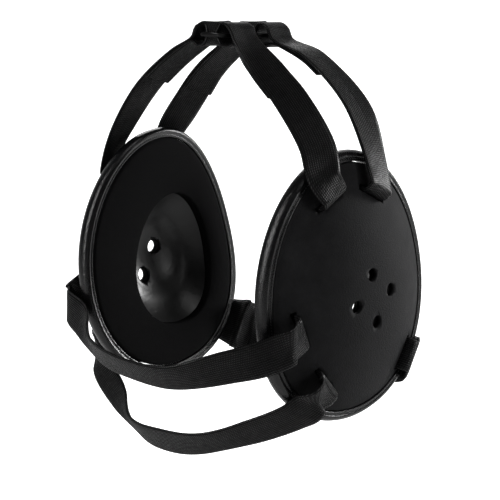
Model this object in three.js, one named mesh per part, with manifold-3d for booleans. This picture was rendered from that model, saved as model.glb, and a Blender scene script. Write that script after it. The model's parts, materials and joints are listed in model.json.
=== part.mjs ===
// A wrestling ear guard: two padded ear cups, hung from the crown of the head by four webbing legs and held
// by two straps behind the head and one round the chin.
//
// Millimetres. +X is the wearer's left, -Y the wearer's front and +Z up. The origin is the underside of the
// crown, where the guard sits on the head. Every strap keeps the shape that it has on a head.

import * as THREE from 'three';
import { mergeVertices } from 'three/addons/utils/BufferGeometryUtils.js';
import Module from 'manifold-3d';

const solids = await Module();
solids.setup();

// Ear cups
const CUP_SPREAD = 163;         // between the two rims
const CUP_DROP = 126.7;         // from the crown's underside to the cup's middle
const CUP_FORWARD = 3;          // the cup's middle lies this far in front of the crown
const CUP_HEIGHT = 155;
const CUP_WIDTH = 131;
const CUP_SQUARENESS = 2.12;    // exponent of the outline: 2 is an ellipse
const CUP_TAPER = 0.155;        // share by which the cup is wider below than at its middle
const CUP_TOE = 2.5;            // degrees: the front edge stands out from the head
const CUP_CAMBER = 1.4;         // degrees: the top edge stands out from the head
const RIM_THICKNESS = 9;
const RIM_WRAP = 7;             // the front and back of the rim bend toward the head
const BINDING_DEPTH = 6;
const DOME_RISE = 18.5;         // from the middle of the rim to the top of the outer dome
const DOME_FULLNESS = 2.2;
const COVER_WALL = 2.8;
const LINER_WALL = 1.6;
const BOWL_RISE = 7;            // the liner's edge rises toward the head by this much
const FOAM_PROUD = 3.2;         // the foam stands proud of the rim, toward the head

// Ear opening
const EAR_WIDTH = 64;
const EAR_HEIGHT = 83;
const EAR_FORWARD = 14;
const EAR_DOWN = 7;
const EAR_TAPER = 0.15;

// Vent holes: four on a square, turned
const VENT_PITCH = 20;
const VENT_TURN = 31;           // degrees
const VENT_FORWARD = 3;
const VENT_DOWN = 5.2;
const COVER_VENT = 7.7;
const LINER_VENT = 10;

// Webbing
const WEBBING_WIDTH = 20;
const WEBBING_THICKNESS = 1.8;
const SLOT_CLEARANCE = 1.6;
const SLOT_DEPTH = 1.2;         // how far a strap's end goes into the cover
const STRAP_LIFT = 3.6;         // a strap leaves its slot square to the cover for this length
const TAIL_GAP = 0.6;           // between a leg and its fastened tail

// Crown links: a rectangular wire ring joins the two legs of each pair
const LINK_WIRE = 2.4;
const LINK_HEIGHT = 9.5;        // the middle of the wire above the crown's underside
const LINK_CLEARANCE = 0.5;     // between a strap's edge and the link's side
const LOOP_HEIGHT = 13;
const TAIL_LENGTH = 42;

// The chin strap is wider where it is padded, between the rims
const CHIN_WIDTH = 37;

const GAP = 0.4;
const FOAM_GAP = 0.9;           // between the cover and the foam

const NEOPRENE = { color: 0x1b1b1d, roughness: 0.85 };
const GLOSSY_VINYL = { color: 0x161617, roughness: 0.3 };
const BLACK_FOAM = { color: 0x0d0d0e, roughness: 0.95 };
const GLOSSY_SHELL = { color: 0x0b0b0c, roughness: 0.12 };
const BLACK_WEBBING = { color: 0x151516, roughness: 0.75 };
const BLACK_WIRE = { color: 0x101011, roughness: 0.4, metalness: 0.3 };

// Each cup: lean is how far its top leans back, curl how far its top and bottom bend toward the head,
// as a share of the cup's height.
const CUPS = [
  { name: 'right', side: -1, lean: 14, curl: 0 },
  { name: 'left', side: 1, lean: 11, curl: 0.11 },
];

// Strap slots: places are shares of half the cup's width and height, forward and up from its middle.
// turn is the slot's direction in degrees, from forward toward up.
const SLOTS = {
  back_leg: { forward: -0.4, up: 0.66, turn: 33 },
  front_leg: { forward: 0.07, up: 0.68, turn: -25 },
  upper_back: { forward: -0.67, up: -0.25, turn: -65 },
  lower_back: { forward: -0.37, up: -0.65, turn: -46 },
  chin: { forward: 0.69, up: -0.58, turn: -116 },
};

// Crown legs. rim rows pass over the cup's edge: forward and up are shares of half the cup's width and height,
// out a share of the rim's thickness. rows climb on to the crown: out is a share of half the spread, back a
// share of the cup's width and rise a share of the reach from the crown to the cup's top. yaw turns the
// strap's front edge away from the head and tip lifts it, in degrees. The loop's back is in webbing widths.
const LEGS = {
  right_back_leg: {
    slot: 'back_leg',
    rim: [
      { forward: -0.51, up: 0.82, out: 1.28, yaw: 20, tip: 24 },
      { forward: -0.457, up: 1.03, out: 0.12, yaw: 34, tip: 22 },
    ],
    rows: [
      { out: 0.7, back: 0.165, rise: -0.476, yaw: 32, tip: 20 },
      { out: 0.42, back: 0.12, rise: -0.18, yaw: 28, tip: 14 },
    ],
    loop: { out: 0.06, back: 0.655, yaw: 8 },
  },
  right_front_leg: {
    slot: 'front_leg',
    rim: [{ forward: 0.121, up: 0.87, out: 1.15, yaw: -8, tip: 8 }],
    rows: [
      { out: 0.985, back: -0.066, rise: -0.554, yaw: 6, tip: 3 },
      { out: 0.585, back: -0.06, rise: -0.013, yaw: -2, tip: 4 },
    ],
    loop: { out: 0.11, back: -0.655, yaw: 0 },
  },
  left_back_leg: {
    slot: 'back_leg',
    rim: [{ forward: -0.47, up: 0.962, out: 1.24, yaw: 0, tip: 8 }],
    rows: [
      { out: 0.755, back: 0.142, rise: -0.476, yaw: -2, tip: -9 },
      { out: 0.467, back: 0.1, rise: -0.039, yaw: -6, tip: -5 },
    ],
    loop: { out: 0.13, back: 0.655, yaw: -14 },
  },
  left_front_leg: {
    slot: 'front_leg',
    rim: [
      { forward: 0.154, up: 0.801, out: 1.2, yaw: -4, tip: -16 },
      { forward: 0.21, up: 0.971, out: 1.05, yaw: -10, tip: -18 },
    ],
    rows: [
      { out: 0.625, back: -0.05, rise: -0.631, yaw: -24, tip: -11 },
      { out: 0.4, back: -0.05, rise: -0.206, yaw: -18, tip: 0 },
    ],
    loop: { out: 0.07, back: -0.655, yaw: -10 },
  },
};

// The loop that ends each leg, standing round its link wire. out is a share of the loop's height from the
// wire toward the leg, up a share of it above the wire.
const LOOP_SECTION = [
  { out: 0.66, up: -0.13 },
  { out: 0.36, up: 0.34 },
  { out: -0.1, up: 0.5 },
  { out: -0.32, up: 0.12 },
  { out: -0.12, up: -0.36 },
  { out: 0.3, up: -0.46 },
];

const LOOP_EYE = 0.08;          // the wire's place in the loop, as out above

// Straps that run from cup to cup, from the wearer's right to the left. across is a share of half the
// spread, back a share of the cup's width and rise a share of half the cup's height, from the cup's middle.
// lean tips the top edge outward, in degrees.
const UPPER_BACK_ROWS = [
  { across: -1.15, back: 0.43, rise: -0.324, lean: 4 },
  { across: -1.02, back: 0.5, rise: -0.409, lean: -4 },
  { across: -0.855, back: 0.62, rise: -0.474, lean: 14 },
  { across: -0.486, back: 0.715, rise: -0.592, lean: 38 },
  { across: -0.035, back: 0.723, rise: -0.595, lean: 38 },
  { across: 0.385, back: 0.657, rise: -0.556, lean: 28 },
  { across: 0.755, back: 0.535, rise: -0.428, lean: -12 },
  { across: 1.03, back: 0.468, rise: -0.37, lean: 0 },
  { across: 1.12, back: 0.38, rise: -0.348, lean: 4 },
];
const LOWER_BACK_ROWS = [
  { across: -1.15, back: 0.262, rise: -0.752, lean: 28 },
  { across: -0.99, back: 0.29, rise: -0.89, lean: 30 },
  { across: -0.703, back: 0.368, rise: -1.046, lean: 34 },
  { across: -0.387, back: 0.45, rise: -1.169, lean: 42 },
  { across: -0.016, back: 0.449, rise: -1.234, lean: 34 },
  { across: 0.385, back: 0.4, rise: -1.234, lean: 36 },
  { across: 0.68, back: 0.345, rise: -1.063, lean: -4 },
  { across: 0.975, back: 0.314, rise: -0.825, lean: -8 },
  { across: 1.09, back: 0.24, rise: -0.736, lean: 14 },
];
const CHIN_ROWS = [
  { across: -0.73, back: -0.52, rise: -0.752, lean: 8 },
  { across: -0.57, back: -0.61, rise: -0.883, lean: 18 },
  { across: -0.3, back: -0.67, rise: -0.981, lean: 24 },
  { across: 0, back: -0.69, rise: -1.03, lean: 28 },
  { across: 0.34, back: -0.69, rise: -0.98, lean: 25 },
  { across: 0.6, back: -0.66, rise: -0.88, lean: 16 },
  { across: 0.76, back: -0.59, rise: -0.77, lean: 8 },
];

// The chin strap goes round the front of each rim. forward and up are shares of half the cup's width and
// height, out a share of the rim's thickness.
const CHIN_WRAP = [
  { forward: 0.83, up: -0.63, out: 1.05 },
  { forward: 0.93, up: -0.675, out: 0.35 },
  { forward: 0.925, up: -0.685, out: -0.55 },
  { forward: 0.87, up: -0.68, out: -1.45 },
];

// Rounded section of the edge binding: depth is a share of the binding's depth in from the rim, out a share
// of the rim's thickness from its middle.
const BINDING_SECTION = [
  { depth: 1, out: -0.5 },
  { depth: 0.5, out: -0.52 },
  { depth: 0.18, out: -0.38 },
  { depth: 0, out: -0.1 },
  { depth: 0, out: 0.14 },
  { depth: 0.18, out: 0.4 },
  { depth: 0.5, out: 0.55 },
  { depth: 1, out: 0.55 },
];

const radians = THREE.MathUtils.degToRad;

// Closed solids from grids of points

function signedVolume(positions, triangles) {
  const corner = (i) => new THREE.Vector3().fromArray(positions, 3 * i);
  return triangles.reduce((sum, [a, b, c]) => sum + corner(a).dot(corner(b).cross(corner(c))) / 6, 0);
}

function closedGeometry(positions, triangles) {
  const loose = new THREE.BufferGeometry();
  loose.setAttribute('position', new THREE.Float32BufferAttribute(positions, 3));
  loose.setIndex(triangles.flat());
  const merged = mergeVertices(loose, 1e-3);
  const index = [...merged.index.array];
  const kept = [];
  for (let i = 0; i < index.length; i += 3) {
    const [a, b, c] = index.slice(i, i + 3);
    if (a !== b && b !== c && c !== a) kept.push([a, b, c]);
  }
  const inward = signedVolume([...merged.attributes.position.array], kept) < 0;
  merged.setIndex(kept.flatMap(([a, b, c]) => (inward ? [a, c, b] : [a, b, c])));
  return merged;
}

// Rows of points become a skin. Rows that don't wrap end in a flat cap, columns that don't wrap end in a pole.
function gridSolid(rows, { wrapRows = false, wrapColumns = false }) {
  const columns = rows[0].length;
  const at = (row, column) => (row % rows.length) * columns + (column % columns);
  const triangles = [];
  const rowSteps = wrapRows ? rows.length : rows.length - 1;
  const columnSteps = wrapColumns ? columns : columns - 1;
  for (let row = 0; row < rowSteps; row += 1) {
    for (let column = 0; column < columnSteps; column += 1) {
      const [a, b] = [at(row, column), at(row, column + 1)];
      const [c, d] = [at(row + 1, column + 1), at(row + 1, column)];
      triangles.push([a, b, c], [a, c, d]);
    }
  }
  if (!wrapRows) {
    const last = rows.length - 1;
    for (let column = 1; column < columns - 1; column += 1) {
      triangles.push([at(0, 0), at(0, column + 1), at(0, column)]);
      triangles.push([at(last, 0), at(last, column), at(last, column + 1)]);
    }
  }
  return closedGeometry(rows.flat().flatMap((point) => point.toArray()), triangles);
}

function toSolid(geometry) {
  const bare = geometry.clone();
  bare.deleteAttribute('normal');
  bare.deleteAttribute('uv');
  const merged = mergeVertices(bare, 1e-4);
  return new solids.Manifold(new solids.Mesh({
    numProp: 3,
    vertProperties: new Float32Array(merged.attributes.position.array),
    triVerts: new Uint32Array(merged.index.array),
  }));
}

function cutAway(geometry, cutters) {
  const rest = cutters.reduce((solid, cutter) => solid.subtract(toSolid(cutter)), toSolid(geometry));
  const mesh = rest.getMesh();
  const result = new THREE.BufferGeometry();
  result.setAttribute('position', new THREE.Float32BufferAttribute(mesh.vertProperties, 3));
  result.setIndex([...mesh.triVerts]);
  return result;
}

function piece(name, geometry, look) {
  geometry.computeVertexNormals();
  const mesh = new THREE.Mesh(geometry, new THREE.MeshStandardMaterial({ metalness: 0, ...look }));
  mesh.name = name;
  return mesh;
}

// Outlines and surfaces of a cup

const RIM_EGG = { height: CUP_HEIGHT, width: CUP_WIDTH, taper: CUP_TAPER, forward: 0, up: 0, leans: true };
const FACE_INSET = BINDING_DEPTH + 1.5 * GAP;
const EAR_EGG = {
  height: EAR_HEIGHT, width: EAR_WIDTH, taper: EAR_TAPER, forward: EAR_FORWARD, up: -EAR_DOWN, leans: false,
};

// A point of an egg-shaped outline, inset from it and then brought toward the egg's middle by a share.
function eggPoint(cup, egg, angle, inset = 0, share = 1) {
  const power = 2 / CUP_SQUARENESS;
  const across = Math.sign(Math.cos(angle)) * Math.abs(Math.cos(angle)) ** power;
  const along = Math.sign(Math.sin(angle)) * Math.abs(Math.sin(angle)) ** power;
  const up = (egg.height / 2 - inset) * along * share;
  const forward = (egg.width / 2 - inset) * across * (1 - egg.taper * along) * share;
  const lean = egg.leans ? radians(cup.lean) : 0;
  return {
    forward: egg.forward + forward * Math.cos(lean) - up * Math.sin(lean),
    up: egg.up + forward * Math.sin(lean) + up * Math.cos(lean),
  };
}

// How far out a place lies: 0 at the cup's middle, 1 at the edge of the cup's face.
function faceShare(cup, { forward, up }) {
  const lean = radians(cup.lean);
  const along = (up * Math.cos(lean) - forward * Math.sin(lean)) / (CUP_HEIGHT / 2 - FACE_INSET);
  const across = (forward * Math.cos(lean) + up * Math.sin(lean)) / (CUP_WIDTH / 2 - FACE_INSET);
  const length = (a, b) => (Math.abs(a) ** CUP_SQUARENESS + Math.abs(b) ** CUP_SQUARENESS) ** (1 / CUP_SQUARENESS);
  const round = length(along, across);
  return round === 0 ? 0 : length(along, across / (1 - (CUP_TAPER * along) / Math.max(round, 0.05)));
}

function domeHeight(cup, place) {
  const edge = RIM_THICKNESS / 2;
  return edge + (DOME_RISE - edge) * (1 - Math.min(faceShare(cup, place), 1) ** DOME_FULLNESS);
}

// A place on a cup in the cup's own frame. The rim wraps the head, so places far from the middle lie
// nearer to the head.
function cupPoint(cup, { forward, up }, out) {
  const wrap = RIM_WRAP * (forward / (CUP_WIDTH / 2)) ** 2;
  const curl = cup.curl * CUP_HEIGHT * (up / (CUP_HEIGHT / 2)) ** 2;
  return new THREE.Vector3(cup.side * (out - wrap - curl), -forward, up);
}

function angles(count) {
  return Array.from({ length: count }, (_, i) => (2 * Math.PI * i) / count);
}

// A disc-shaped skin: shares run from the middle of its outer face over its edge to the middle of its inner.
function discSolid(cup, count, columns) {
  const rows = angles(count).map((angle) => columns.map((column) => column(angle)));
  return gridSolid(rows, { wrapRows: true });
}

// Pieces of a cup

function ventPlaces() {
  const turn = radians(VENT_TURN);
  const half = VENT_PITCH / 2;
  const corners = [[-1, -1], [1, -1], [-1, 1], [1, 1]];
  return corners.map(([a, b]) => ({
    forward: VENT_FORWARD + half * (a * Math.cos(turn) - b * Math.sin(turn)),
    up: -VENT_DOWN - half * (a * Math.sin(turn) + b * Math.cos(turn)),
  }));
}

function ventCutters(cup, bore) {
  return ventPlaces().map((place) => {
    const cutter = new THREE.CylinderGeometry(bore / 2, bore / 2, 4 * DOME_RISE, 12);
    cutter.rotateZ(Math.PI / 2);
    return cutter.translate(0, -place.forward, place.up);
  });
}

// A place given in shares of half the cup's width and height.
function sharedPlace({ forward, up }) {
  return { forward: forward * (CUP_WIDTH / 2), up: up * (CUP_HEIGHT / 2) };
}

function slotCutters(cup) {
  return Object.values(SLOTS).map((slot) => {
    const place = sharedPlace(slot);
    const width = WEBBING_WIDTH + SLOT_CLEARANCE;
    const cutter = new THREE.BoxGeometry(4 * DOME_RISE, width, WEBBING_THICKNESS + SLOT_CLEARANCE);
    cutter.rotateX(-radians(slot.turn));
    return cutter.translate(0, -place.forward, place.up);
  });
}

function outerCover(cup) {
  const shares = [0, 0.28, 0.52, 0.72, 0.88, 1];
  const point = (share, depth) => (angle) => {
    const place = eggPoint(cup, RIM_EGG, angle, FACE_INSET, share);
    return cupPoint(cup, place, domeHeight(cup, place) - depth);
  };
  const outside = shares.map((share) => point(share, 0));
  const inside = shares.map((share) => point(share, COVER_WALL)).reverse();
  const skin = discSolid(cup, 36, [...outside, ...inside]);
  return cutAway(skin, [...ventCutters(cup, COVER_VENT), ...slotCutters(cup)]);
}

// The liner is a bowl behind the ear. Its back follows the cover and its edge rises toward the head.
function linerBack(cup, place, share) {
  return domeHeight(cup, place) - COVER_WALL - GAP - BOWL_RISE * share ** 3;
}

function earLiner(cup) {
  const shares = [0, 0.45, 0.72, 0.88, 1];
  const point = (share, depth) => (angle) => {
    const place = eggPoint(cup, EAR_EGG, angle, GAP, share);
    return cupPoint(cup, place, linerBack(cup, place, share) - depth);
  };
  const outside = shares.map((share) => point(share, 0));
  const inside = shares.map((share) => point(share, LINER_WALL)).reverse();
  return cutAway(discSolid(cup, 30, [...outside, ...inside]), ventCutters(cup, LINER_VENT));
}

// The foam fills the cup between the cover and the head, round the ear opening.
function foamPad(cup) {
  const between = (angle, share) => {
    const ear = eggPoint(cup, EAR_EGG, angle);
    const rim = eggPoint(cup, RIM_EGG, angle, FACE_INSET);
    return {
      forward: THREE.MathUtils.lerp(ear.forward, rim.forward, share),
      up: THREE.MathUtils.lerp(ear.up, rim.up, share),
    };
  };
  const back = (angle, share) => {
    const place = between(angle, share);
    return cupPoint(cup, place, domeHeight(cup, place) - COVER_WALL - FOAM_GAP);
  };
  const face = (angle, share) => {
    const proud = FOAM_PROUD * Math.sin(Math.PI * (0.12 + 0.88 * share)) ** 0.6;
    return cupPoint(cup, between(angle, share), -RIM_THICKNESS / 2 - proud);
  };
  const rows = angles(36).map((angle) => [
    ...[0, 0.35, 0.7, 1].map((share) => back(angle, share)),
    ...[1, 0.88, 0.5, 0.12, 0].map((share) => face(angle, share)),
  ]);
  return gridSolid(rows, { wrapRows: true, wrapColumns: true });
}

function edgeBinding(cup) {
  const rows = angles(42).map((angle) => BINDING_SECTION.map(({ depth, out }) => {
    const place = eggPoint(cup, RIM_EGG, angle, depth * BINDING_DEPTH);
    return cupPoint(cup, place, out * RIM_THICKNESS);
  }));
  return gridSolid(rows, { wrapRows: true, wrapColumns: true });
}

function earCup(cup) {
  const group = new THREE.Group();
  group.position.set((cup.side * CUP_SPREAD) / 2, -CUP_FORWARD, -CUP_DROP);
  group.rotation.set(0, cup.side * radians(CUP_CAMBER), cup.side * radians(CUP_TOE));
  group.add(
    piece(`${cup.name}_outer_cover`, outerCover(cup), NEOPRENE),
    piece(`${cup.name}_ear_liner`, earLiner(cup), GLOSSY_SHELL),
    piece(`${cup.name}_foam_pad`, foamPad(cup), BLACK_FOAM),
    piece(`${cup.name}_edge_binding`, edgeBinding(cup), GLOSSY_VINYL),
  );
  group.updateMatrixWorld(true);
  return group;
}

// Where a strap leaves its slot: the mouth on the cover, the slot's direction and the way out.
function slotMouth(cup, group, slotName) {
  const slot = SLOTS[slotName];
  const place = sharedPlace(slot);
  const turn = radians(slot.turn);
  const mouth = group.localToWorld(cupPoint(cup, place, domeHeight(cup, place)));
  const along = new THREE.Vector3(0, -Math.cos(turn), Math.sin(turn)).transformDirection(group.matrixWorld);
  const outward = new THREE.Vector3(cup.side, 0, 0).transformDirection(group.matrixWorld);
  return { mouth, along, outward };
}

// Straps

// Points through the rows, evenly spread in each stretch between two rows.
function smooth(vectors, stepsPerRow) {
  const curve = new THREE.CatmullRomCurve3(vectors, false, 'centripetal');
  const count = (vectors.length - 1) * stepsPerRow;
  return Array.from({ length: count + 1 }, (_, i) => curve.getPoint(i / count));
}

// A flat band along rows of centre and width direction. Its edges are pointed a little, as webbing's are.
function band(rows, { stepsPerRow = 3, width = () => WEBBING_WIDTH, thickness = WEBBING_THICKNESS }) {
  const centres = smooth(rows.map((row) => row.centre), stepsPerRow);
  const leans = smooth(rows.map((row) => row.along), stepsPerRow);
  const last = centres.length - 1;
  const sections = centres.map((centre, i) => {
    const ahead = centres[Math.min(i + 1, last)].clone().sub(centres[Math.max(i - 1, 0)]).normalize();
    const along = leans[i].clone().addScaledVector(ahead, -leans[i].dot(ahead)).normalize();
    const normal = new THREE.Vector3().crossVectors(ahead, along);
    const half = width(i / last) / 2;
    const chamfer = thickness / 3;
    const at = (across, out) => centre.clone().addScaledVector(along, across).addScaledVector(normal, out);
    return [
      at(-half, 0), at(chamfer - half, -thickness / 2), at(half - chamfer, -thickness / 2),
      at(half, 0), at(half - chamfer, thickness / 2), at(chamfer - half, thickness / 2),
    ];
  });
  return gridSolid(sections, { wrapColumns: true });
}

function slotRows({ mouth, along, outward }) {
  return [-SLOT_DEPTH, 0.3 * STRAP_LIFT, STRAP_LIFT].map((lift) => ({
    centre: mouth.clone().addScaledVector(outward, lift),
    along,
  }));
}

// Rows of a fastened tail: they run back along a strap from its last row, just inside it.
function tailRows(rows) {
  const steps = 12;
  const centres = smooth(rows.map((row) => row.centre), steps).reverse();
  const leans = smooth(rows.map((row) => row.along), steps).reverse();
  const marks = [0, 1 / 3, 2 / 3, 1].map((share) => share * TAIL_LENGTH);
  const result = [];
  let run = 0;
  for (let i = 1; i < centres.length && marks.length > 0; i += 1) {
    const ahead = centres[i].clone().sub(centres[i - 1]);
    if (run >= marks[0]) {
      marks.shift();
      const inward = new THREE.Vector3().crossVectors(ahead, leans[i]).normalize();
      if (inward.z > 0) inward.negate();
      const centre = centres[i].clone().addScaledVector(inward, WEBBING_THICKNESS + TAIL_GAP);
      result.push({ centre, along: leans[i] });
    }
    run += ahead.length();
  }
  return result;
}

function widthDirection(cup, yaw, tip) {
  return new THREE.Vector3(
    cup.side * Math.sin(radians(yaw)) * Math.cos(radians(tip)),
    -Math.cos(radians(yaw)) * Math.cos(radians(tip)),
    Math.sin(radians(tip)),
  );
}

// The crown's loops stand side by side, so their places go by the webbing.
function loopPlace(cup, { out, back }) {
  return new THREE.Vector3(cup.side * out * (CUP_SPREAD / 2), back * WEBBING_WIDTH, LINK_HEIGHT);
}

// A leg climbs from its slot to the crown, goes round its link and comes back under itself as a tail.
function legRows(cup, group, leg) {
  const rim = leg.rim.map((row) => ({
    centre: group.localToWorld(cupPoint(cup, sharedPlace(row), row.out * RIM_THICKNESS)),
    along: widthDirection(cup, row.yaw, row.tip),
  }));
  const reach = CUP_DROP - CUP_HEIGHT / 2;
  const climb = leg.rows.map(({ out, back, rise, yaw, tip }) => ({
    centre: new THREE.Vector3(cup.side * out * (CUP_SPREAD / 2), back * CUP_WIDTH, rise * reach),
    along: widthDirection(cup, yaw, tip),
  }));
  const loop = LOOP_SECTION.map(({ out, up }) => ({
    centre: loopPlace(cup, leg.loop).add(new THREE.Vector3(cup.side * out, 0, up).multiplyScalar(LOOP_HEIGHT)),
    along: widthDirection(cup, leg.loop.yaw, 0),
  }));
  const climbing = [...slotRows(slotMouth(cup, group, leg.slot)), ...rim, ...climb, loop[0]];
  return [...climbing, ...loop.slice(1), ...tailRows(climbing)];
}

// The chin strap's stretch round the rim, in step with its slot's direction.
function wrapRows(group, cup) {
  const { along } = slotMouth(cup, group, 'chin');
  return CHIN_WRAP.map((row) => ({
    centre: group.localToWorld(cupPoint(cup, sharedPlace(row), row.out * RIM_THICKNESS)),
    along,
  }));
}

function hoopRows(rows) {
  return rows.map(({ across, back, rise, lean }) => {
    const centre = new THREE.Vector3(
      across * (CUP_SPREAD / 2), back * CUP_WIDTH, rise * (CUP_HEIGHT / 2) - CUP_DROP,
    );
    const outward = new THREE.Vector3(centre.x, centre.y, 0).normalize();
    const along = outward.clone().multiplyScalar(Math.sin(radians(lean)));
    along.z = Math.cos(radians(lean));
    return { centre, along };
  });
}

// A strap from the right cup to the left one: out of a slot, past a cup's own rows, round the head.
function strapRows(groups, slotName, rows, cupRows = () => []) {
  const upward = ({ centre, along }) => ({ centre, along: along.z < 0 ? along.clone().negate() : along });
  const ends = CUPS.map((cup, i) => [
    ...slotRows(slotMouth(cup, groups[i], slotName)),
    ...cupRows(groups[i], cup),
  ].map(upward));
  return [...ends[0], ...hoopRows(rows), ...ends[1].reverse()];
}

// A rectangular wire ring with rounded corners, through the loops of two legs.
function crownLink(rightLoop, leftLoop) {
  const eye = LOOP_EYE * LOOP_HEIGHT;
  const right = loopPlace(CUPS[0], rightLoop).x - eye;
  const left = loopPlace(CUPS[1], leftLoop).x + eye;
  const side = WEBBING_WIDTH / 2 + LINK_CLEARANCE + LINK_WIRE / 2;
  const corner = 1.5 * LINK_WIRE;
  const centre = loopPlace(CUPS[0], rightLoop).setX((right + left) / 2);
  const [x, y] = [(left - right) / 2, side];
  const rows = [[1, 1, 0], [-1, 1, 90], [-1, -1, 180], [1, -1, 270]].flatMap(([a, b, start]) => (
    [0, 30, 60, 90].map((turn) => {
      const angle = radians(start + turn);
      const ray = new THREE.Vector3(Math.cos(angle), Math.sin(angle), 0);
      const bend = centre.clone().add(new THREE.Vector3(a * (x - corner), b * (y - corner), 0));
      return angles(8).map((around) => bend.clone()
        .addScaledVector(ray, corner + (LINK_WIRE / 2) * Math.cos(around))
        .add(new THREE.Vector3(0, 0, (LINK_WIRE / 2) * Math.sin(around))));
    })
  ));
  return gridSolid(rows, { wrapRows: true, wrapColumns: true });
}

const guard = new THREE.Group();
const cupGroups = CUPS.map(earCup);
guard.add(...cupGroups);

Object.entries(LEGS).forEach(([name, leg]) => {
  const i = name.startsWith('left') ? 1 : 0;
  guard.add(piece(name, band(legRows(CUPS[i], cupGroups[i], leg), {}), BLACK_WEBBING));
});
['back', 'front'].forEach((pair) => {
  const link = crownLink(LEGS[`right_${pair}_leg`].loop, LEGS[`left_${pair}_leg`].loop);
  guard.add(piece(`${pair}_crown_link`, link, BLACK_WIRE));
});

const upperBack = strapRows(cupGroups, 'upper_back', UPPER_BACK_ROWS);
const lowerBack = strapRows(cupGroups, 'lower_back', LOWER_BACK_ROWS);
const chin = strapRows(cupGroups, 'chin', CHIN_ROWS, wrapRows);
const chinWidth = (share) => WEBBING_WIDTH
  + (CHIN_WIDTH - WEBBING_WIDTH) * Math.sin(Math.PI * THREE.MathUtils.clamp((share - 0.18) / 0.64, 0, 1)) ** 0.7;
guard.add(
  piece('upper_back_strap', band(upperBack, {}), BLACK_WEBBING),
  piece('lower_back_strap', band(lowerBack, {}), BLACK_WEBBING),
  piece('chin_strap', band(chin, { width: chinWidth }), BLACK_WEBBING),
);

export default guard;
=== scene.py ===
# %% [markdown]
# A wrestling ear guard, dressed for rendering. The imported model gives the frame: every piece below is a finer
# copy of one of its solids, made from the same named sizes, in metres at the end and in millimetres while it
# is worked out. This cell loads the frame.

# %% Load the frame
import json
import math

import bmesh
import bpy
import numpy as np
from mathutils import Matrix, Vector

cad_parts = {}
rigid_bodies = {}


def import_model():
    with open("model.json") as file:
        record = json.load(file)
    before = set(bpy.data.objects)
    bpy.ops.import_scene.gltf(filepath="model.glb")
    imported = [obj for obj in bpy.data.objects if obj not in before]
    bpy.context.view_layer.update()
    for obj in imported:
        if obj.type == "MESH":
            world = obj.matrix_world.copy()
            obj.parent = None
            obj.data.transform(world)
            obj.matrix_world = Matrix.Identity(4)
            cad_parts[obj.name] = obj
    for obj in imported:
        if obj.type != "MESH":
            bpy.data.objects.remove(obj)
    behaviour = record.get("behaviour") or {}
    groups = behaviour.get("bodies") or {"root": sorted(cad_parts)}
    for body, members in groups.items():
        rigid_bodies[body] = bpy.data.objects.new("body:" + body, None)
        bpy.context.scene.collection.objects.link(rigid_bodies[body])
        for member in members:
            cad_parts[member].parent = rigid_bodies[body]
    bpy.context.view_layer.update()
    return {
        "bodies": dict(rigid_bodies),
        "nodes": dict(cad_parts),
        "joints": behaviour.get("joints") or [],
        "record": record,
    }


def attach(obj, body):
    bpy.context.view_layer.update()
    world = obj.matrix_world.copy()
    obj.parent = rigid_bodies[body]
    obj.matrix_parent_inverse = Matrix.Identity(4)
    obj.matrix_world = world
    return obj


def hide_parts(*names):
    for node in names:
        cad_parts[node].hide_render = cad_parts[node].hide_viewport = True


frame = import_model()
MM = 0.001
print("nodes", sorted(frame["nodes"]))

# %% [markdown]
# The guard's sizes, in millimetres. They are the solids' own sizes, so a finer surface lies where its solid
# does. A cup is an egg-shaped disc with a low dome, bent round the head.

# %% Sizes
CUP_SPREAD = 163
CUP_DROP = 126.7
CUP_FORWARD = 3
CUP_HEIGHT = 155
CUP_WIDTH = 131
CUP_SQUARENESS = 2.12
CUP_TAPER = 0.155
CUP_TOE = 2.5
CUP_CAMBER = 1.4
RIM_THICKNESS = 9
RIM_WRAP = 7
BINDING_DEPTH = 6
DOME_RISE = 18.5
DOME_FULLNESS = 2.2
COVER_WALL = 2.8
LINER_WALL = 1.6
BOWL_RISE = 7
FOAM_PROUD = 3.2
GAP = 0.4
FOAM_GAP = 0.9
VENT_PITCH = 20
VENT_TURN = 31
VENT_FORWARD = 3
VENT_DOWN = 5.2
COVER_VENT = 7.7
LINER_VENT = 10
WEBBING_WIDTH = 20
WEBBING_THICKNESS = 1.8
SLOT_CLEARANCE = 1.6
SLOT_DEPTH = 1.2
STRAP_LIFT = 3.6
TAIL_GAP = 0.6
TAIL_LENGTH = 42
LINK_WIRE = 2.4
LINK_HEIGHT = 9.5
LINK_CLEARANCE = 0.5
LOOP_HEIGHT = 13
LOOP_EYE = 0.08
FOLD_RADIUS = 4.0
FOLD_RISE = 1.1
FOLD_TURN = 96
FOLD_ROWS = 6
CHIN_WIDTH = 37
FACE_INSET = BINDING_DEPTH + 1.5 * GAP
RIM_EGG = {"height": CUP_HEIGHT, "width": CUP_WIDTH, "taper": CUP_TAPER, "forward": 0, "up": 0, "leans": True}
EAR_EGG = {"height": 83, "width": 64, "taper": 0.15, "forward": 14, "up": -7, "leans": False}
CUPS = [
    {"name": "right", "side": -1, "lean": 14, "curl": 0, "liner_pitch": 0.66},
    {"name": "left", "side": 1, "lean": 11, "curl": 0.11, "liner_pitch": 1.0},
]
print("cup", CUP_WIDTH, "by", CUP_HEIGHT, "mm")

# %% [markdown]
# The same functions place every point of a cup: an egg outline, the dome's height over a place, and the bend
# round the head. Numbers come in as numpy arrays, so one call places a whole ring.

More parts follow.
